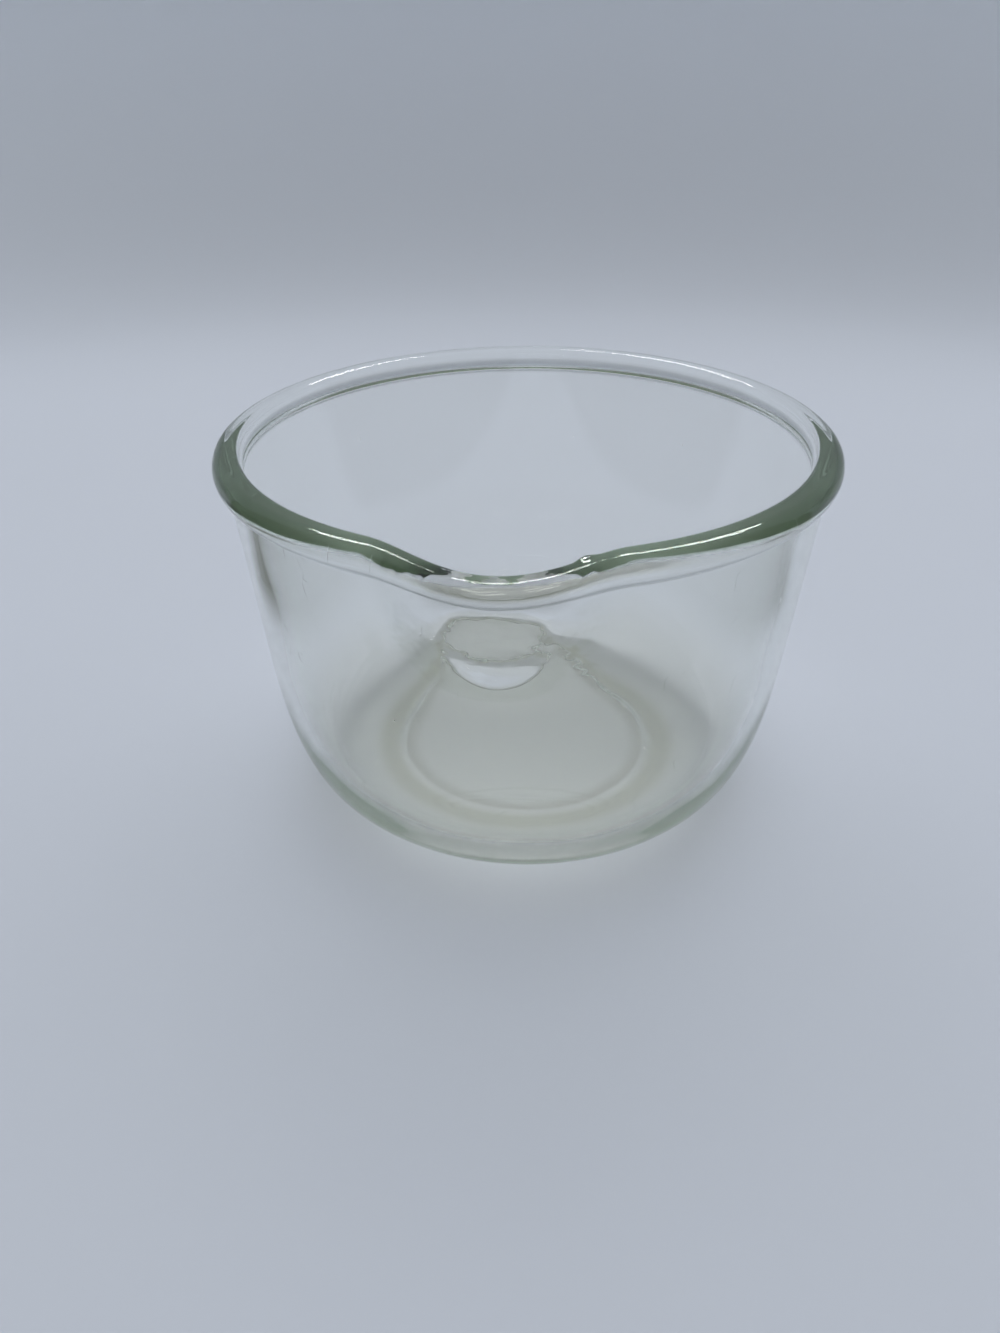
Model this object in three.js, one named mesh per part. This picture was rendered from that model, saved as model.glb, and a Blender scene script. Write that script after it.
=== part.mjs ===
// A small stand-mixer bowl in clear pressed glass.
// It is one piece of glass: a tapered bowl with a beaded rim, a pouring spout pressed into the rim,
// a round bottom corner and a foot ring around a shallow recess.
// Millimetres, +Z up. The bowl's axis is Z, it rests on z = 0, and the spout points to -Y.

import * as THREE from 'three';

// Rim
const rimDiameter = 165; // over the bead, away from the spout
const bowlHeight = 104.5;
const beadHeight = 7.6;
const beadOverhang = 3.1; // how far the bead stands out from the wall
const beadInnerRound = 1.8; // the bead's round on the inside of the bowl
const beadFillet = 1.2; // between the bead's underside and the wall

// Wall and floor
const rimWall = 4.4; // glass thickness at the rim
const kneeWall = 4.75; // glass thickness where the wall turns in
const floorThickness = 6.5;
const wallDraft = 4.8; // degrees from upright, outside
const kneeHeight = 48.5; // where the wall starts to turn in
const cornerFullnessAtFoot = 0.74; // 0 cuts the corner straight, 1 fills it out to the plane of the foot
const cornerFullnessAtKnee = 0.84; // the same, out to the line of the wall

// Foot
const footDiameter = 90; // outer edge of the flat ring that the bowl rests on
const recessDiameter = 77.2; // to the middle of the slope around the recess
const recessDepth = 0.7;
const recessSlope = 5.0; // width of the slope between the recess and the ring

// Spout: a lip that bends out and dips, a bulge in the wall under it, and a channel down the inside
const lipReach = 4.0; // how far the lip stands out beyond the round rim
const lipDip = 3.5; // how far the lip's top drops below the rim
const lipWidth = 57; // along the rim
const lipDepth = 21.5; // from the rim's top down to where the lip has died away
const bulgeReach = 4.6; // how far the bulge stands out from the wall
const bulgeWidth = 25.5;
const bulgeHeight = 27; // along the wall
const bulgeDepth = 20; // from the rim's top to the middle of the bulge
const bulgeSoftness = 1.3; // 1 gives the bulge a sharp edge, 2 a soft one
const channelStart = 8; // from the rim's top to where the channel, upright until there, starts to fade
const channelEnd = 44; // from the rim's top to where the channel has died away

// Fineness of the solid
const segmentsAround = 90;
const spoutCrowding = 0.62; // 0 spaces the segments evenly around, towards 1 more of them lie at the spout
const stepsInnerRound = 3;
const stepsBead = 7;
const stepsFillet = 2;
const stepsWall = 10;
const stepsCorner = 8;
const stepsSlope = 4;

const rimRadius = rimDiameter / 2;
const draft = THREE.MathUtils.degToRad( wallDraft );
const wallTopRadius = rimRadius - beadOverhang;
const innerRimRadius = wallTopRadius - rimWall;

// Points along a round stretch, both ends included.
function arcPoints( centre, radius, fromAngle, toAngle, steps ) {

	const points = [];

	for ( let i = 0; i <= steps; i ++ ) {

		const angle = THREE.MathUtils.lerp( fromAngle, toAngle, i / steps );
		points.push( new THREE.Vector2( Math.cos( angle ), Math.sin( angle ) ).multiplyScalar( radius ).add( centre ) );

	}

	return points;

}

// Points along a straight stretch, both ends included.
function linePoints( from, to, steps ) {

	return new THREE.LineCurve( from, to ).getPoints( steps );

}

// The bead in section, from its seat on the outside of the wall over the top to the inside of the bowl.
function beadSection() {

	const beadRadius = beadHeight / 2;
	const beadCentre = new THREE.Vector2( rimRadius - beadRadius, bowlHeight - beadRadius );
	const filletX = wallTopRadius + beadFillet * Math.cos( draft );
	const reach = filletX - beadCentre.x;
	const fall = Math.sqrt( ( beadRadius + beadFillet ) ** 2 - reach ** 2 );
	const filletCentre = new THREE.Vector2( filletX, beadCentre.y - fall );
	const meeting = Math.atan2( - fall, reach ); // from the bead's centre to the fillet's
	const fillet = arcPoints( filletCentre, beadFillet, Math.PI - draft, meeting + Math.PI, stepsFillet );
	const bead = arcPoints( beadCentre, beadRadius, meeting, Math.PI / 2, stepsBead );
	const innerCentre = new THREE.Vector2( innerRimRadius + beadInnerRound, bowlHeight - beadInnerRound );
	const inner = arcPoints( innerCentre, beadInnerRound, Math.PI / 2, Math.PI, stepsInnerRound );

	return [ ...fillet, ...bead.slice( 1 ), ...inner ];

}

// The straight lines of the wall in section, from the knee up to the bead, outside and inside.
function wallLines( bead ) {

	const outerTop = bead[ 0 ];
	const innerTop = bead[ bead.length - 1 ];
	const outerKnee = new THREE.Vector2( outerTop.x - Math.tan( draft ) * ( outerTop.y - kneeHeight ), kneeHeight );
	const innerKnee = new THREE.Vector2( outerKnee.x - kneeWall, kneeHeight );

	return {
		outer: new THREE.LineCurve( outerKnee, outerTop ),
		inner: new THREE.LineCurve( innerKnee, innerTop )
	};

}

// The radius at a height on the straight line of a wall.
function wallRadius( wall, height ) {

	return wall.getPoint( ( height - wall.v1.y ) / ( wall.v2.y - wall.v1.y ) ).x;

}

// A round corner in section, from a flat bottom's edge up to the knee of a wall.
function cornerPoints( edge, wall ) {

	const knee = wall.v1;
	const sharpCorner = new THREE.Vector2( wallRadius( wall, edge.y ), edge.y );
	const corner = new THREE.CubicBezierCurve(
		edge,
		edge.clone().lerp( sharpCorner, cornerFullnessAtFoot ),
		knee.clone().lerp( sharpCorner, cornerFullnessAtKnee ),
		knee
	);

	return corner.getPoints( stepsCorner );

}

// The underside in section, from the axis to the outer edge of the ring that the bowl rests on.
function undersidePoints() {

	const slopeStart = ( recessDiameter - recessSlope ) / 2;
	const points = [ new THREE.Vector2( 0, recessDepth ) ];

	for ( let i = 0; i <= stepsSlope; i ++ ) {

		const share = i / stepsSlope;
		const height = recessDepth * ( 1 - THREE.MathUtils.smoothstep( share, 0, 1 ) );
		points.push( new THREE.Vector2( slopeStart + recessSlope * share, height ) );

	}

	points.push( new THREE.Vector2( footDiameter / 2, 0 ) );

	return points;

}

// The whole section, from the axis under the foot, up the outside, over the rim and down the inside to the axis.
function bowlSection( bead, walls ) {

	const underside = undersidePoints();
	const footEdge = underside[ underside.length - 1 ];
	const floorEdge = new THREE.Vector2( footDiameter / 2, floorThickness );

	return [
		...underside,
		...cornerPoints( footEdge, walls.outer ).slice( 1 ),
		...walls.outer.getPoints( stepsWall ).slice( 1 ),
		...bead.slice( 1 ),
		...linePoints( walls.inner.v2, walls.inner.v1, stepsWall ).slice( 1 ),
		...cornerPoints( floorEdge, walls.inner ).reverse().slice( 1 ),
		new THREE.Vector2( 0, floorThickness )
	];

}

// 1 in the middle, 0 with no slope from an offset of 1 on.
function bell( offset ) {

	return Math.max( 0, 1 - offset ** 2 ) ** 2;

}

// 1 in the middle of an oval, 0 from its edge on.
function dome( across, along, width, height, softness ) {

	return Math.max( 0, 1 - ( 2 * across / width ) ** 2 - ( 2 * along / height ) ** 2 ) ** softness;

}

// How far the glass is pushed out and down, at a distance along the rim from the spout's middle and a depth below
// the rim's top. A point's outside share is 0 on the inside of the wall, whose radius there is given, and 1 outside.
function spoutShift( alongRim, depth, innerRadius, outsideShare ) {

	const lipShare = bell( 2 * alongRim / lipWidth );
	const lip = lipShare * ( 1 - THREE.MathUtils.smoothstep( depth, 0, lipDepth ) );
	const bulge = bulgeReach * dome( alongRim, depth - bulgeDepth, bulgeWidth, bulgeHeight, bulgeSoftness );
	const outside = lipReach * lip + bulge * ( 1 - lip );
	const channelShare = lipShare * ( 1 - THREE.MathUtils.smoothstep( depth, channelStart, channelEnd ) );
	const channel = ( innerRimRadius + lipReach - innerRadius ) * channelShare;

	return { out: THREE.MathUtils.lerp( channel, outside, outsideShare ), down: lipDip * lip };

}

// Presses the spout into the round bowl. The lathe's axis is Y and its first seam, at +Z, becomes the spout's middle.
function pressSpout( geometry, walls ) {

	const position = geometry.getAttribute( 'position' );

	for ( let i = 0; i < position.count; i ++ ) {

		const [ x, y, z ] = [ position.getX( i ), position.getY( i ), position.getZ( i ) ];
		const evenAngle = Math.atan2( x, z );
		const angle = evenAngle - spoutCrowding * Math.sin( evenAngle );
		const radius = Math.hypot( x, z );
		const inner = wallRadius( walls.inner, y );
		const outer = wallRadius( walls.outer, y );
		const outsideShare = THREE.MathUtils.clamp( ( radius - inner ) / ( outer - inner ), 0, 1 );
		const { out, down } = spoutShift( radius * angle, bowlHeight - y, inner, outsideShare );
		position.setXYZ( i, ( radius + out ) * Math.sin( angle ), y - down, ( radius + out ) * Math.cos( angle ) );

	}

}

function makeGlassBowl() {

	const bead = beadSection();
	const walls = wallLines( bead );
	const geometry = new THREE.LatheGeometry( bowlSection( bead, walls ), segmentsAround );
	pressSpout( geometry, walls );
	geometry.rotateX( Math.PI / 2 );
	geometry.computeVertexNormals();

	const clearGlass = new THREE.MeshStandardMaterial( {
		color: 0xdfe8e1,
		roughness: 0.03,
		metalness: 0,
		transparent: true,
		opacity: 0.35
	} );
	const bowl = new THREE.Mesh( geometry, clearGlass );
	bowl.name = 'glass_bowl';

	return bowl;

}

const mixerBowl = new THREE.Group();
mixerBowl.add( makeGlassBowl() );

export default mixerBowl;
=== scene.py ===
"""A small stand-mixer bowl in clear pressed glass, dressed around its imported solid.

The bowl is spun from its section and the pouring spout is then pressed into its rim.
A pale studio sweep stands around it, under soft light from above.
Metres, +Z up, in the frame's own axes: the bowl's axis is Z and the spout points to -Y.
"""

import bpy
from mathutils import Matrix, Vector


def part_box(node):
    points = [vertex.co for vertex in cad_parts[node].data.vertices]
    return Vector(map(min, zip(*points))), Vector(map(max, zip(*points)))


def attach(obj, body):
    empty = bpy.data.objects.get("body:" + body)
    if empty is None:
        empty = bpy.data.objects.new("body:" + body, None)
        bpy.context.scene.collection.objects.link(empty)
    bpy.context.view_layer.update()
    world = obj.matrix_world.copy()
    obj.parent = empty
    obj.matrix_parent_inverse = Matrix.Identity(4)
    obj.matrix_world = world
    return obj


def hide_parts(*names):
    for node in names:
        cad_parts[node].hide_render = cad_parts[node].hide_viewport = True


bl_info = {
    "name": "Pressed-glass mixer bowl",
    "version": (1, 0, 0),
    "blender": (4, 5, 0),
    "location": "3D View > Sidebar > Mixer Bowl",
    "description": "Makes a clear glass mixer bowl with a pouring spout, and a pale studio around it",
    "category": "Add Mesh",
}

import math

import bmesh
import bpy
from bpy.props import FloatProperty, FloatVectorProperty, IntProperty, PointerProperty
from bpy.types import Operator, Panel, PropertyGroup
from mathutils import Vector, noise
from mathutils.geometry import interpolate_bezier

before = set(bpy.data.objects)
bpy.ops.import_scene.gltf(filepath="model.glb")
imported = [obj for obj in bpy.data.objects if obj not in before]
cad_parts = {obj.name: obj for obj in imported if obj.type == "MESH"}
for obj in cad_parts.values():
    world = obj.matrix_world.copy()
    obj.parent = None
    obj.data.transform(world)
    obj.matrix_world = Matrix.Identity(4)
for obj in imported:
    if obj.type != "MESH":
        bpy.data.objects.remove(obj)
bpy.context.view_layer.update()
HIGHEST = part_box("glass_bowl")[1]
MM = 0.001
MERGE_DISTANCE = 1e-6

# Steps along each stretch of the bowl's section
RECESS_STEPS = 7
SLOPE_STEPS = 8
RING_STEPS = 4
CORNER_STEPS = 22
WALL_STEPS = 34
FILLET_STEPS = 5
BEAD_STEPS = 14
INNER_ROUND_STEPS = 7
FLOOR_STEPS = 10

# Edges of the parts of the glass with a look of their own, as where each edge starts and ends; the ring, the
# band inside it and the lip carry painted shade
UNDERSIDE_TOP = (2 * MM, 4 * MM)
RING_INSIDE = (38.5 * MM, 41.5 * MM)
RING_OUTSIDE = (44 * MM, 50 * MM)
WEAR_INSIDE = (36.5 * MM, 38.5 * MM)
SHADE_INSIDE = (32 * MM, 36.5 * MM)
SHADE_OUTSIDE = (37 * MM, 38 * MM)
LIP_PAINTED_SHADE_SIDES = (10 * MM, 18 * MM)
LIP_PAINTED_SHADE_BACK = (-74 * MM, -70 * MM)
LIP_PAINTED_SHADE_BOTTOM = (91 * MM, 95 * MM)
CHILL_SIDES = (18 * MM, 30 * MM)
CHILL_BACK = (-70 * MM, -62 * MM)
CHILL_BOTTOM = (64 * MM, 84 * MM)

# Marks on the glass: the fineness of each pattern, and the range of it that shows
SMEAR_SCALE = 45.0
SMEAR_RANGE = (0.52, 0.75)
SPECK_SCALE = 85.0
SPECK_EDGE = (0.012, 0.03)
SPECK_CHOICE = 0.86
SPECK_ROUGHNESS = 0.5
SPECK_DEPTH = 0.4
SCRATCH_SCALE = 70.0
SCRATCH_RANGE = (0.985, 0.998)
SCRATCH_PATCH_SCALE = 110.0
SCRATCH_PATCH_RANGE = (0.64, 0.70)
RIPPLE_SCALE = 160.0
RIPPLE_DEPTH = 0.02
RELIEF_HEIGHT = 0.1 * MM

# The sweep: its steps, and where its colours blend along Y and, for the backdrop, up; the blends paint shade
# on the floor in front and towards the back, and paint light on the backdrop
SWEEP_FLAT_STEPS = 4
SWEEP_BEND_STEPS = 16
SWEEP_STEPS_AROUND = 96
NEAR_PAINTED_SHADE_BLEND = (-0.13, 0.07)
FAR_PAINTED_SHADE_BLEND = (0.30, 0.65)
WALL_PAINTED_LIGHT_BLEND = (-0.02, 0.24)

# The tent: how its opening slants back to either side, and how soft its edges are
TENT_SLANT = 0.35
TENT_BLUR = 0.02
ROOF_EDGE = (0.5, 0.9)
TOP_LIGHT_EDGE = (0.80, 0.97)
STRIP_ROWS = 2

# The camera's sensor in millimetres, and how often light may bounce in the thick glass
SENSOR_WIDTH = 36.0
BOUNCES = 128
TRANSMISSION_BOUNCES = 32
ANY_BOUNCE = 0.5


def length(name, description, default):
    """A size in metres that a user may change."""
    return FloatProperty(
        name=name, description=description, default=default, min=0.0, precision=5, unit="LENGTH")


def angle(name, description, degrees):
    """An angle that a user may change."""
    return FloatProperty(name=name, description=description, default=math.radians(degrees), unit="ROTATION")


def amount(name, description, default):
    """A plain number that a user may change."""
    return FloatProperty(name=name, description=description, default=default, precision=4)


def colour(name, description, default):
    """A colour that a user may change."""
    return FloatVectorProperty(
        name=name, description=description, default=default, subtype="COLOR", min=0.0, soft_max=1.0)


class BowlSizes(PropertyGroup):
    """The sizes of the glass bowl."""

    rim_radius: length("Rim radius", "Outside of the bead, away from the spout", HIGHEST.y)
    height: length("Height", "From the resting plane to the rim's top", HIGHEST.z)
    bead_height: length("Bead height", "Height of the rim's bead", 7.6 * MM)
    bead_overhang: length("Bead overhang", "How far the bead stands out from the wall", 3.1 * MM)
    bead_inner_round: length("Bead inner round", "Round of the bead on the inside of the bowl", 1.8 * MM)
    bead_fillet: length("Bead fillet", "Between the bead's underside and the wall", 1.2 * MM)
    rim_wall: length("Rim wall", "Glass thickness at the rim", 4.4 * MM)
    knee_wall: length("Knee wall", "Glass thickness where the wall turns in", 4.75 * MM)
    floor_thickness: length("Floor thickness", "Glass thickness of the floor", 6.5 * MM)
    wall_draft: angle("Wall draft", "Lean of the wall's outside from upright", 4.8)
    knee_height: length("Knee height", "Where the outside of the wall starts to turn in", 48.5 * MM)
    foot_fullness: amount("Corner fullness at the foot", "0 cuts the corner straight, 1 fills it out", 0.74)
    knee_fullness: amount("Corner fullness at the knee", "0 cuts the corner straight, 1 fills it out", 0.84)
    foot_radius: length("Foot radius", "Outer edge of the flat ring that the bowl rests on", 45.0 * MM)
    recess_radius: length("Recess radius", "To the middle of the slope around the recess", 38.6 * MM)
    recess_depth: length("Recess depth", "From the resting plane up to the recess", 0.7 * MM)
    recess_slope: length("Recess slope", "Width of the slope between the recess and the ring", 5.0 * MM)
    lip_reach: length("Lip reach", "How far the spout's lip stands out beyond the rim", 4.0 * MM)
    lip_dip: length("Lip dip", "How far the lip's top drops below the rim", 3.5 * MM)
    lip_width: length("Lip width", "Along the rim", 57.0 * MM)
    lip_depth: length("Lip depth", "From the rim's top down to where the lip has died away", 21.5 * MM)
    bulge_reach: length("Bulge reach", "How far the bulge under the lip stands out from the wall", 4.6 * MM)
    bulge_width: length("Bulge width", "Across the bulge", 25.5 * MM)
    bulge_height: length("Bulge height", "Along the wall", 27.0 * MM)
    bulge_depth: length("Bulge depth", "From the rim's top to the middle of the bulge", 20.0 * MM)
    bulge_softness: amount("Bulge softness", "1 gives the bulge a sharp edge, 2 a soft one", 1.3)
    channel_start: length("Channel start", "Depth where the spout's inside channel starts to fade", 8.0 * MM)
    channel_end: length("Channel end", "Depth where that channel has died away", 44.0 * MM)
    nub_turn: angle("Nub turn", "Around from the spout to the mould's small nub on the rim", 13.7)
    nub_width: length("Nub width", "Across the nub", 4.8 * MM)
    nub_height: length("Nub height", "Of the nub over the rim", 1.2 * MM)
    waviness: length("Waviness", "How far the pressed surface wanders in and out", 0.05 * MM)
    wave_length: length("Wave length", "From one wave of the surface to the next", 17.0 * MM)
    steps_around: IntProperty(name="Steps around", description="Faces around the bowl", default=144, min=12)
    steps_to_spout: amount("Steps drawn to the spout", "0 spaces them evenly, near 1 most lie there", 0.62)


class GlassLook(PropertyGroup):
    """The finish of the clear glass."""

    index: amount("Refractive index", "Soda-lime glass", 1.52)
    wall_tint: colour("Wall tint", "Colour that light takes on through the wall's faces", (0.995, 1.0, 0.99))
    foot_tint: colour("Foot tint", "The same through the faces of the thick bottom", (0.924, 0.914, 0.858))
    # The ring tint is partly the thick ring's own colour and partly painted shade where the ring meets the
    # floor
    ring_tint_and_painted_shade: colour("Ring tint", "The same through the ring that the bowl rests on, partly painted contact shade", (0.838, 0.828, 0.755))
    # The shade tint is painted shade: the band just inside the ring is darkened where shade falls under the
    # recess
    painted_shade_tint: colour("Shade tint", "Painted shade along the inside of that ring", (0.823, 0.808, 0.773))
    # The lip tint is painted shade: it darkens the lip to stand in for the shaded floor seen through it
    lip_painted_shade: colour("Lip tint", "The same through the lip, darkened as painted shade", (0.84, 0.835, 0.82))
    foot_tint_full: length("Foot tint, full", "Height up to which the foot tint is full", 8.0 * MM)
    foot_tint_end: length("Foot tint, end", "Height where the foot tint has died away", 32.0 * MM)
    polish: amount("Polish", "Roughness of the clean wall", 0.006)
    film: amount("Film", "Roughness that smears and handling add", 0.03)
    ring_wear: amount("Ring wear", "Roughness of the ring that the bowl rests on", 0.25)
    scratch_depth: amount("Scratch depth", "Strength of the fine scratches", 0.15)
    chill_depth: amount("Chill depth", "Strength of the cold mould's uneven marks on the spout", 1.5)
    chill_scale: amount("Chill scale", "How many of those marks lie along a metre", 260.0)
    tint: colour("Tint", "Colour that light takes on in the depth of the glass", (0.70, 0.775, 0.67))
    tint_density: amount("Tint density", "Absorption for each metre of glass", 10.0)


class StageLook(PropertyGroup):
    """The studio around the bowl, and the camera."""

    sweep_colour: colour("Sweep colour", "Floor around the bowl", (0.525, 0.558, 0.62))
    # The near colour is painted shade: the floor in front of the bowl is darker, where less light reaches it
    near_painted_shade: colour("Near colour", "Floor in front of the bowl", (0.488, 0.518, 0.572))
    # The far colour is painted shade: the floor darkens towards the backdrop, as the light falls off
    far_painted_shade: colour("Far colour", "Floor towards the backdrop", (0.465, 0.495, 0.545))
    # The wall colour is the backdrop's tone plus painted light, lighter than the floor's paper to make up for
    # the light from above that misses the upright wall
    wall_colour_and_painted_light: colour("Wall colour", "Backdrop", (0.80, 0.85, 0.92))
    sweep_radius: length("Sweep radius", "From the bowl's axis to where the floor starts to rise", 0.56)
    sweep_bend: length("Sweep bend", "Radius of the bend from floor to backdrop", 0.30)
    floor_gap: length("Floor gap", "Between the foot and the floor", 0.05 * MM)
    light_colour: colour("Light colour", "Soft light that falls on the floor", (0.95, 0.97, 1.0))
    light_level: amount("Light level", "Strength of the soft light from all round", 0.325)
    top_light: amount("Top light", "Strength of the broad soft light from above", 3.05)
    top_lean: angle("Top lean", "How far the light from above leans to the back", 24.0)
    tent_colour: colour("Tent colour", "Walls of the tent around the sweep", (0.33, 0.36, 0.40))
    roof_colour: colour("Roof colour", "Roof of the tent", (0.48, 0.505, 0.545))
    front_colour: colour("Front colour", "Dim room in front of the tent", (0.170, 0.186, 0.180))
    sheet_width: length("Sheet width", "Of the lit floor in front of the tent, as the glass mirrors it", 0.31)
    strip_spread: length("Strip spread", "From the middle of the roof to the middle of each strip lamp", 0.20)
    strip_back: length("Strip back", "From the bowl's axis back to the strip lamps", 0.30)
    strip_gap: length("Strip gap", "From one row of strip lamps to the next", 0.12)
    strip_height: length("Strip height", "From the floor up to the strip lamps", 0.60)
    strip_length: length("Strip length", "Of each strip lamp, from left to right", 0.32)
    strip_width: length("Strip width", "Of each strip lamp", 0.03)
    strip_power: FloatProperty(
        name="Strip power", description="Of each strip lamp", default=1.0, min=0.0, unit="POWER")
    camera_place: FloatVectorProperty(
        name="Camera place", description="Where the camera stands",
        default=(0.02131, -0.25919, 0.19481), unit="LENGTH")
    camera_turn: FloatVectorProperty(
        name="Camera turn", description="The camera's turn about X, Y and Z",
        default=(math.radians(57.322), math.radians(0.540), math.radians(6.046)), subtype="EULER")
    camera_lens: amount("Camera lens", "Focal length in millimetres on a 36 mm sensor", 27.007)


class Shader:
    """A node tree, with one method that adds nodes."""

    def __init__(self, tree):
        self.tree = tree
        tree.nodes.clear()

    def node(self, kind, settings=None, output=0, **sockets):
        """Adds a node, sets its settings, feeds its sockets and returns one of its outputs."""
        made = self.tree.nodes.new("ShaderNode" + kind)
        for name, value in (settings or {}).items():
            setattr(made, name, value)
        for name, value in sockets.items():
            key = int(name[1:]) if name[1:].isdigit() else name.replace("_", " ")
            feed = made.inputs[key]
            if isinstance(value, Value):
                self.tree.links.new(value.socket, feed)
            else:
                feed.default_value = value
        return Value(self, made.outputs[output]) if len(made.outputs) else made

    def mix(self, share, first, second, blend="MIX"):
        """Mixes two colours."""
        settings = {"data_type": "RGBA", "blend_type": blend}
        return self.node("Mix", settings, output=2, _0=share, _6=first, _7=second)


class Value:
    """A socket of a shader, which can be used in plain sums."""

    def __init__(self, shader, socket):
        self.shader = shader
        self.socket = socket

    def math(self, operation, *others):
        """Adds a Math node whose first value is this one."""
        feeds = {f"_{place}": value for place, value in enumerate((self, *others))}
        return self.shader.node("Math", {"operation": operation}, **feeds)

    def __add__(self, other):
        return self.math("ADD", other)

    def __radd__(self, other):
        return self.math("ADD", other)

    def __mul__(self, other):
        return self.math("MULTIPLY", other)

    def __rmul__(self, other):
        return self.math("MULTIPLY", other)

    def __sub__(self, other):
        return self.math("SUBTRACT", other)

    def __rsub__(self, other):
        return (self * -1.0) + other

    def ramp(self, low, high):
        """0 up to low, 1 from high on, and smooth between them."""
        settings = {"interpolation_type": "SMOOTHSTEP"}
        return self.shader.node("MapRange", settings, Value=self, From_Min=low, From_Max=high)

    def band(self, inside, outside):
        """1 between two soft edges, 0 before the first and after the second."""
        return self.ramp(*inside) * (1 - self.ramp(*outside))

    def above(self, level):
        """1 above a level, 0 up to it."""
        return self.math("GREATER_THAN", level)


def opaque(tone):
    """A colour with its alpha of 1, as a socket takes it."""
    return (*tone, 1.0)


def arc(centre, radius, start, end, steps):
    """Points along a round stretch of a section, both ends included."""
    points = []
    for step in range(steps + 1):
        turn = start + (end - start) * step / steps
        points.append(Vector((centre[0] + radius * math.cos(turn), centre[1] + radius * math.sin(turn))))
    return points


def straight(start, end, steps):
    """Points along a straight stretch of a section, both ends included."""
    return [start.lerp(end, step / steps) for step in range(steps + 1)]


def smoothstep(value, low, high):
    """0 up to low, 1 from high on, and smooth between them."""
    share = min(max((value - low) / (high - low), 0.0), 1.0)
    return share * share * (3.0 - 2.0 * share)


def bell(offset):
    """1 in the middle, 0 with no slope from an offset of 1 on."""
    return max(0.0, 1.0 - offset * offset) ** 2


def dome(across, along, width, height, softness):
    """1 in the middle of an oval, 0 from its edge on."""
    return max(0.0, 1.0 - (2 * across / width) ** 2 - (2 * along / height) ** 2) ** softness


def bead_section(sizes):
    """The bead, from its seat on the outside of the wall over the top to the inside of the bowl."""
    wall_top = sizes.rim_radius - sizes.bead_overhang
    bead_radius = sizes.bead_height / 2
    bead_centre = Vector((sizes.rim_radius - bead_radius, sizes.height - bead_radius))
    fillet_x = wall_top + sizes.bead_fillet * math.cos(sizes.wall_draft)
    reach = fillet_x - bead_centre.x
    fall = math.sqrt((bead_radius + sizes.bead_fillet) ** 2 - reach ** 2)
    fillet_centre = Vector((fillet_x, bead_centre.y - fall))
    meeting = math.atan2(-fall, reach)
    fillet_start = math.pi - sizes.wall_draft
    fillet = arc(fillet_centre, sizes.bead_fillet, fillet_start, meeting + math.pi, FILLET_STEPS)
    bead = arc(bead_centre, bead_radius, meeting, math.pi / 2, BEAD_STEPS)
    inner_x = wall_top - sizes.rim_wall + sizes.bead_inner_round
    inner_centre = Vector((inner_x, sizes.height - sizes.bead_inner_round))
    inner = arc(inner_centre, sizes.bead_inner_round, math.pi / 2, math.pi, INNER_ROUND_STEPS)
    return fillet + bead[1:] + inner


def wall_lines(sizes, bead):
    """The lower and upper ends of the straight wall, outside and inside."""
    outer_top, inner_top = bead[0], bead[-1]
    lean = math.tan(sizes.wall_draft)
    outer_bottom = Vector((outer_top.x - lean * (outer_top.y - sizes.knee_height), sizes.knee_height))
    inner_bottom = Vector((outer_bottom.x - sizes.knee_wall, sizes.knee_height))
    return (outer_bottom, outer_top), (inner_bottom, inner_top)


def wall_radius(line, height):
    """The radius at a height on the straight line of a wall."""
    bottom, top = line
    return bottom.x + (top.x - bottom.x) * (height - bottom.y) / (top.y - bottom.y)


def corner_section(sizes, foot, wall_bottom, wall_top):
    """A round corner from a flat bottom up to the lower end of a straight wall, both ends included."""
    lean = (wall_top.x - wall_bottom.x) / (wall_top.y - wall_bottom.y)
    sharp = Vector((wall_bottom.x - lean * (wall_bottom.y - foot.y), foot.y))
    near_foot = foot.lerp(sharp, sizes.foot_fullness)
    near_wall = wall_bottom.lerp(sharp, sizes.knee_fullness)
    flat = [Vector((*point, 0.0)) for point in (foot, near_foot, near_wall, wall_bottom)]
    return [point.to_2d() for point in interpolate_bezier(*flat, CORNER_STEPS + 1)]


def recess_section(sizes):
    """The underside from the axis to the outer edge of the flat ring that the bowl rests on."""
    slope_start = sizes.recess_radius - sizes.recess_slope / 2
    slope_end = sizes.recess_radius + sizes.recess_slope / 2
    middle = Vector((0.0, sizes.recess_depth))
    flat = straight(middle, Vector((slope_start, sizes.recess_depth)), RECESS_STEPS)
    slope = []
    for point in straight(flat[-1], Vector((slope_end, sizes.recess_depth)), SLOPE_STEPS)[1:]:
        drop = smoothstep(point.x, slope_start, slope_end)
        slope.append(Vector((point.x, sizes.recess_depth * (1.0 - drop))))
    return flat + slope + straight(slope[-1], Vector((sizes.foot_radius, 0.0)), RING_STEPS)[1:]


def bowl_section(sizes):
    """The whole section: from the axis under the foot, up the outside, over the rim and down the inside."""
    bead = bead_section(sizes)
    outer_wall, inner_wall = wall_lines(sizes, bead)
    underside = recess_section(sizes)
    inner_foot = Vector((sizes.foot_radius, sizes.floor_thickness))
    outer_corner = corner_section(sizes, underside[-1], *outer_wall)
    inner_corner = corner_section(sizes, inner_foot, *inner_wall)
    floor = straight(inner_foot, Vector((0.0, sizes.floor_thickness)), FLOOR_STEPS)
    return [
        *underside,
        *outer_corner[1:],
        *straight(*outer_wall, WALL_STEPS)[1:],
        *bead[1:],
        *straight(*reversed(inner_wall), WALL_STEPS)[1:],
        *reversed(inner_corner[:-1]),
        *floor[1:],
    ]


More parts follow.
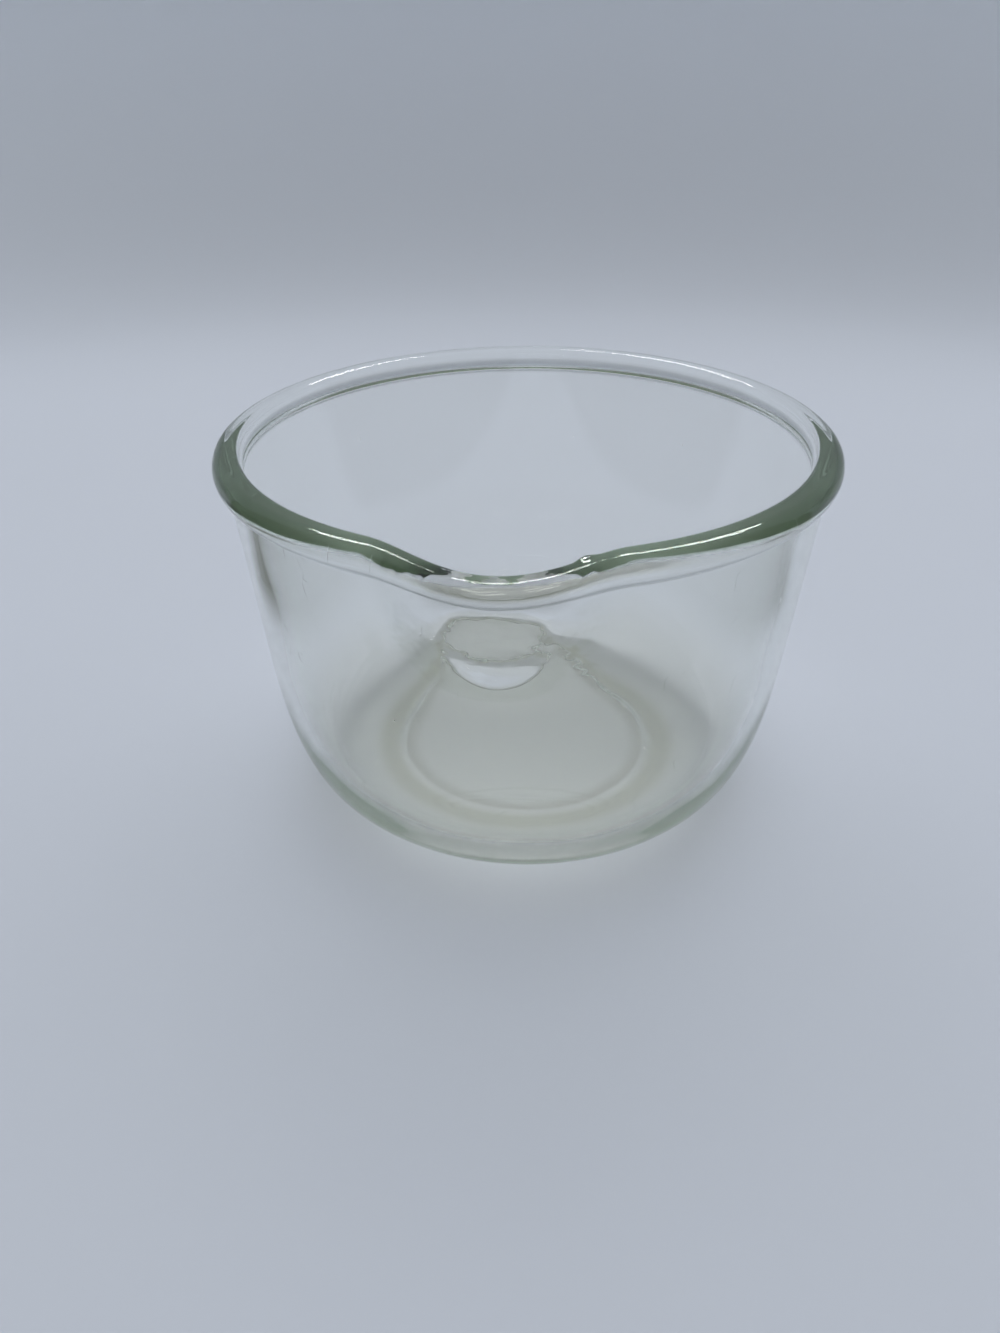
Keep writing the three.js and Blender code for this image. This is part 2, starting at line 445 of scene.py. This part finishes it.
def press_spout(sizes, verts):
    """Draws the steps together at -Y, and presses the lip, the bulge under it and the channel inside it."""
    outer_wall, inner_wall = wall_lines(sizes, bead_section(sizes))
    for vert in verts:
        turn = math.atan2(vert.co.x, -vert.co.y)
        turn -= sizes.steps_to_spout * math.sin(turn)
        radius = math.hypot(vert.co.x, vert.co.y)
        along_rim = radius * turn
        depth = sizes.height - vert.co.z
        inner = wall_radius(inner_wall, vert.co.z)
        outer = wall_radius(outer_wall, vert.co.z)
        outside = min(max((radius - inner) / (outer - inner), 0.0), 1.0)
        lip_share = bell(2 * along_rim / sizes.lip_width)
        lip = lip_share * (1.0 - smoothstep(depth, 0.0, sizes.lip_depth))
        below_middle = depth - sizes.bulge_depth
        bulge = dome(along_rim, below_middle, sizes.bulge_width, sizes.bulge_height, sizes.bulge_softness)
        pressed = sizes.lip_reach * lip + sizes.bulge_reach * bulge * (1.0 - lip)
        channel_share = lip_share * (1.0 - smoothstep(depth, sizes.channel_start, sizes.channel_end))
        channel = (inner_wall[1].x + sizes.lip_reach - inner) * channel_share
        radius += channel * (1.0 - outside) + pressed * outside
        vert.co.x = radius * math.sin(turn)
        vert.co.y = -radius * math.cos(turn)
        vert.co.z -= sizes.lip_dip * lip


def leave_marks(sizes, bm):
    """Gives the glass the slow waves of its pressing, and the mould's nub on the rim's inner edge."""
    bm.normal_update()
    nub_radius = sizes.rim_radius - sizes.bead_overhang - sizes.rim_wall + sizes.bead_inner_round
    nub_place = Vector((math.sin(sizes.nub_turn), -math.cos(sizes.nub_turn))) * nub_radius
    for vert in bm.verts:
        if vert.co.z > sizes.height / 2:
            offset = (vert.co.to_2d() - nub_place).length / (sizes.nub_width / 2)
            near_top = 1.0 - smoothstep(sizes.height - vert.co.z, sizes.bead_inner_round, sizes.bead_height)
            vert.co.z += sizes.nub_height * bell(min(offset, 1.0)) * near_top
        above_foot = smoothstep(vert.co.z, sizes.recess_depth, sizes.floor_thickness)
        wave = noise.noise(vert.co / sizes.wave_length)
        vert.co += vert.normal * (wave * sizes.waviness * above_foot)


def spin_section(section, steps):
    """A bmesh spun about Z from the points of a section, closed and facing out."""
    bm = bmesh.new()
    verts = [bm.verts.new((point.x, 0.0, point.y)) for point in section]
    edges = [bm.edges.new(pair) for pair in zip(verts, verts[1:])]
    bmesh.ops.spin(
        bm, geom=verts + edges, cent=(0, 0, 0), axis=(0, 0, 1),
        angle=2 * math.pi, steps=steps, use_merge=True)
    bmesh.ops.remove_doubles(bm, verts=bm.verts, dist=MERGE_DISTANCE)
    bmesh.ops.recalc_face_normals(bm, faces=bm.faces)
    return bm


def finish_mesh(name, bm, material):
    """A smooth-shaded object at the origin from a bmesh."""
    for face in bm.faces:
        face.smooth = True
    mesh = bpy.data.meshes.new(name)
    bm.to_mesh(mesh)
    bm.free()
    mesh.materials.append(material)
    made = bpy.data.objects.new(name, mesh)
    bpy.context.scene.collection.objects.link(made)
    return made


def spout_mask(x, y, height, sides, back, bottom):
    """1 on the spout's side of the bowl, within soft edges to the sides, the back and the bottom."""
    middle = 1 - x.math("ABSOLUTE").ramp(*sides)
    front = 1 - y.ramp(*back)
    return middle * front * height.ramp(*bottom)


def clear_glass(look):
    """Clear pressed glass with a faint green depth, and painted shade in the tints of the foot ring, the band
    inside it and the lip.
    """
    material = bpy.data.materials.new("clear_pressed_glass")
    material.use_nodes = True
    shader = Shader(material.node_tree)
    place = shader.node("TexCoord", output="Object")
    x, y, height = (shader.node("SeparateXYZ", output=axis, Vector=place) for axis in "XYZ")
    radius = (x * x + y * y).math("SQRT")
    bottom = 1 - height.ramp(look.foot_tint_full, look.foot_tint_end)
    underside = 1 - height.ramp(*UNDERSIDE_TOP)
    ring = radius.band(RING_INSIDE, RING_OUTSIDE) * underside
    shade = radius.band(SHADE_INSIDE, SHADE_OUTSIDE) * underside
    lip = spout_mask(x, y, height, LIP_PAINTED_SHADE_SIDES, LIP_PAINTED_SHADE_BACK, LIP_PAINTED_SHADE_BOTTOM)
    tint = shader.mix(bottom, opaque(look.wall_tint), opaque(look.foot_tint))
    # Painted shade: the ring that the bowl rests on is darkened beyond its glass colour, where it meets the
    # floor
    tint = shader.mix(ring, tint, opaque(look.ring_tint_and_painted_shade), "MULTIPLY")
    # Painted shade: darkens the band just inside the ring, where shade falls under the recess
    tint = shader.mix(shade, tint, opaque(look.painted_shade_tint), "MULTIPLY")
    # Painted shade: darkens the lip, standing in for the shaded floor seen through it
    tint = shader.mix(lip, tint, opaque(look.lip_painted_shade), "MULTIPLY")

    smears = shader.node("TexNoise", Vector=place, Scale=SMEAR_SCALE, Detail=5.0, Roughness=0.6)
    specks = shader.node("TexVoronoi", Vector=place, Scale=SPECK_SCALE)
    chance = shader.node("TexVoronoi", output="Color", Vector=place, Scale=SPECK_SCALE)
    chosen = shader.node("SeparateColor", Color=chance).above(SPECK_CHOICE)
    dust = (1 - specks.ramp(*SPECK_EDGE)) * chosen
    worn = radius.band(WEAR_INSIDE, RING_OUTSIDE) * underside
    wear = worn * look.ring_wear + dust * SPECK_ROUGHNESS
    roughness = look.polish + smears.ramp(*SMEAR_RANGE) * look.film + wear

    lines = shader.node(
        "TexWave", Vector=place, Scale=SCRATCH_SCALE, Distortion=9.0, Detail=3.0, Detail_Scale=1.6)
    patches = shader.node("TexNoise", Vector=place, Scale=SCRATCH_PATCH_SCALE, Detail=1.0)
    scratches = lines.ramp(*SCRATCH_RANGE) * patches.ramp(*SCRATCH_PATCH_RANGE)
    ripple = shader.node("TexNoise", Vector=place, Scale=RIPPLE_SCALE, Detail=2.0)
    spout = spout_mask(x, y, height, CHILL_SIDES, CHILL_BACK, CHILL_BOTTOM)
    chill = shader.node("TexNoise", Vector=place, Scale=look.chill_scale, Detail=1.0)
    raised = ripple * RIPPLE_DEPTH + chill * spout * look.chill_depth
    relief = raised - scratches * look.scratch_depth - dust * SPECK_DEPTH
    normal = shader.node("Bump", Height=relief, Strength=1.0, Distance=RELIEF_HEIGHT)
    surface = shader.node(
        "BsdfPrincipled", Base_Color=tint, Roughness=roughness, Normal=normal,
        IOR=look.index, Transmission_Weight=1.0)
    volume = shader.node("VolumeAbsorption", Color=opaque(look.tint), Density=look.tint_density)
    shader.node("OutputMaterial", Surface=surface, Volume=volume)
    return material


class MIXER_BOWL_OT_press_bowl(Operator):
    """Makes the glass bowl with its bead, spout, round corner and foot"""

    bl_idname = "mixer_bowl.press_bowl"
    bl_label = "Press the bowl"

    def execute(self, context):
        sizes = context.scene.mixer_bowl_sizes
        bm = spin_section(bowl_section(sizes), sizes.steps_around)
        press_spout(sizes, bm.verts)
        leave_marks(sizes, bm)
        bowl = finish_mesh("clear_glass_bowl", bm, clear_glass(context.scene.mixer_bowl_glass))
        smooth = bowl.modifiers.new("Fine surface", "SUBSURF")
        smooth.levels = 1
        smooth.render_levels = 1
        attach(bowl, "root")
        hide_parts("glass_bowl")
        return {"FINISHED"}


def in_front(side, back):
    """1 in front of the tent's opening, 0 inside it, for a distance to the side and one to the back."""
    return 1 - (back - side * TENT_SLANT).ramp(-TENT_BLUR, TENT_BLUR)


def sweep_material(look):
    """Matte pale paper, with painted shade in front and towards the back and painted light on the backdrop.
    Beside the lit sheet, the glass mirrors the dim room in front of the tent instead.
    """
    material = bpy.data.materials.new("pale_sweep")
    material.use_nodes = True
    shader = Shader(material.node_tree)
    place = shader.node("TexCoord", output="Object")
    x, back, up = (shader.node("SeparateXYZ", output=axis, Vector=place) for axis in "XYZ")
    side = x.math("ABSOLUTE")
    # Painted shade: darker paper in front of the bowl, where less light reaches the floor
    shade = shader.mix(back.ramp(*NEAR_PAINTED_SHADE_BLEND), opaque(look.near_painted_shade), opaque(look.sweep_colour))
    # Painted shade: the paper darkens towards the backdrop, as the light falls off there
    shade = shader.mix(back.ramp(*FAR_PAINTED_SHADE_BLEND), shade, opaque(look.far_painted_shade))
    # Painted light: the backdrop's paper is lighter than the floor's, making up for the light from above that
    # misses the upright wall
    shade = shader.mix(up.ramp(*WALL_PAINTED_LIGHT_BLEND), shade, opaque(look.wall_colour_and_painted_light))
    paper = shader.node("BsdfPrincipled", Base_Color=shade, Roughness=0.9)
    room = shader.node("Emission", Color=opaque(look.front_colour))
    edge = look.sheet_width / 2
    beside = side.ramp(edge - TENT_BLUR, edge + TENT_BLUR) * in_front(side, back)
    mirrored = shader.node("LightPath", output="Glossy Depth").above(ANY_BOUNCE)
    surface = shader.node("MixShader", _0=beside * mirrored, _1=paper, _2=room)
    shader.node("OutputMaterial", Surface=surface)
    return material


def tent_world(look):
    """Soft light on the floor, most of it from above, and a pale tent that glass and camera show.

    Only the glass shows the dim room in front of the tent.
    """
    world = bpy.data.worlds.new("pale_tent")
    world.use_nodes = True
    world.cycles.sampling_method = "NONE"
    shader = Shader(world.node_tree)
    direction = shader.node("TexCoord", output="Generated")
    x, back, up = (shader.node("SeparateXYZ", output=axis, Vector=direction) for axis in "XYZ")
    side = x.math("ABSOLUTE")
    above = (0.0, math.sin(look.top_lean), math.cos(look.top_lean))
    toward = shader.node("VectorMath", {"operation": "DOT_PRODUCT"}, output="Value", _0=direction, _1=above)
    strength = look.light_level + toward.ramp(*TOP_LIGHT_EDGE) * look.top_light
    light = shader.node("Background", Color=opaque(look.light_colour), Strength=strength)
    in_glass = 1 - shader.node("LightPath", output="Is Camera Ray")
    dim = in_front(side, back) * in_glass
    walls = shader.mix(dim, opaque(look.tent_colour), opaque(look.front_colour))
    tone = shader.mix(up.ramp(*ROOF_EDGE), walls, opaque(look.roof_colour))
    tent = shader.node("Background", Color=tone)
    lit = shader.node("LightPath", output="Diffuse Depth").above(ANY_BOUNCE)
    shader.node("OutputWorld", Surface=shader.node("MixShader", _0=lit, _1=tent, _2=light))
    return world


def strip_lamp(name, look, side, row):
    """A long lamp under the tent's roof, on one side of a row, which shows only as a highlight."""
    lamp = bpy.data.lights.new(name, "AREA")
    lamp.shape = "RECTANGLE"
    lamp.size = look.strip_length
    lamp.size_y = look.strip_width
    lamp.energy = look.strip_power
    made = bpy.data.objects.new(name, lamp)
    made.location = (side * look.strip_spread, look.strip_back + row * look.strip_gap, look.strip_height)
    made.visible_diffuse = False
    made.visible_transmission = False
    bpy.context.scene.collection.objects.link(made)


class MIXER_BOWL_OT_set_stage(Operator):
    """Sets up the pale sweep, the soft light and the camera"""

    bl_idname = "mixer_bowl.set_stage"
    bl_label = "Set the stage"

    def execute(self, context):
        look = context.scene.mixer_bowl_stage
        bend_centre = (look.sweep_radius, look.sweep_bend - look.floor_gap)
        rise = arc(bend_centre, look.sweep_bend, -math.pi / 2, 0.0, SWEEP_BEND_STEPS)
        section = straight(Vector((0.0, -look.floor_gap)), rise[0], SWEEP_FLAT_STEPS) + rise[1:]
        bm = spin_section(section, SWEEP_STEPS_AROUND)
        for face in bm.faces:
            face.normal_flip()
        sweep = finish_mesh("sweep", bm, sweep_material(look))
        context.scene.world = tent_world(look)
        for row in range(STRIP_ROWS):
            strip_lamp(f"left_strip_{row + 1}", look, -1, row)
            strip_lamp(f"right_strip_{row + 1}", look, 1, row)
        camera = bpy.data.objects.new("camera", bpy.data.cameras.new("camera"))
        camera.data.lens = look.camera_lens
        camera.data.sensor_width = SENSOR_WIDTH
        camera.location = look.camera_place
        camera.rotation_euler = look.camera_turn
        context.scene.collection.objects.link(camera)
        context.scene.camera = camera
        context.scene.view_settings.view_transform = "Standard"
        cycles = context.scene.cycles
        cycles.max_bounces = BOUNCES
        cycles.glossy_bounces = BOUNCES
        cycles.transmission_bounces = TRANSMISSION_BOUNCES
        cycles.blur_glossy = 0.0
        return {"FINISHED"}


class VIEW3D_PT_mixer_bowl(Panel):
    """The bowl's sizes and looks, with a button for each step"""

    bl_label = "Mixer Bowl"
    bl_space_type = "VIEW_3D"
    bl_region_type = "UI"
    bl_category = "Mixer Bowl"

    def draw(self, context):
        scene = context.scene
        for group in (scene.mixer_bowl_sizes, scene.mixer_bowl_glass, scene.mixer_bowl_stage):
            column = self.layout.column()
            for name in group.__annotations__:
                column.prop(group, name)
        self.layout.operator(MIXER_BOWL_OT_press_bowl.bl_idname)
        self.layout.operator(MIXER_BOWL_OT_set_stage.bl_idname)


CLASSES = (
    BowlSizes,
    GlassLook,
    StageLook,
    MIXER_BOWL_OT_press_bowl,
    MIXER_BOWL_OT_set_stage,
    VIEW3D_PT_mixer_bowl,
)


def register():
    for cls in CLASSES:
        bpy.utils.register_class(cls)
    bpy.types.Scene.mixer_bowl_sizes = PointerProperty(type=BowlSizes)
    bpy.types.Scene.mixer_bowl_glass = PointerProperty(type=GlassLook)
    bpy.types.Scene.mixer_bowl_stage = PointerProperty(type=StageLook)


def unregister():
    del bpy.types.Scene.mixer_bowl_stage
    del bpy.types.Scene.mixer_bowl_glass
    del bpy.types.Scene.mixer_bowl_sizes
    for cls in reversed(CLASSES):
        bpy.utils.unregister_class(cls)


def main():
    """Makes the whole scene."""
    register()
    bpy.ops.mixer_bowl.set_stage()
    bpy.ops.mixer_bowl.press_bowl()


if __name__ == "__main__":
    main()
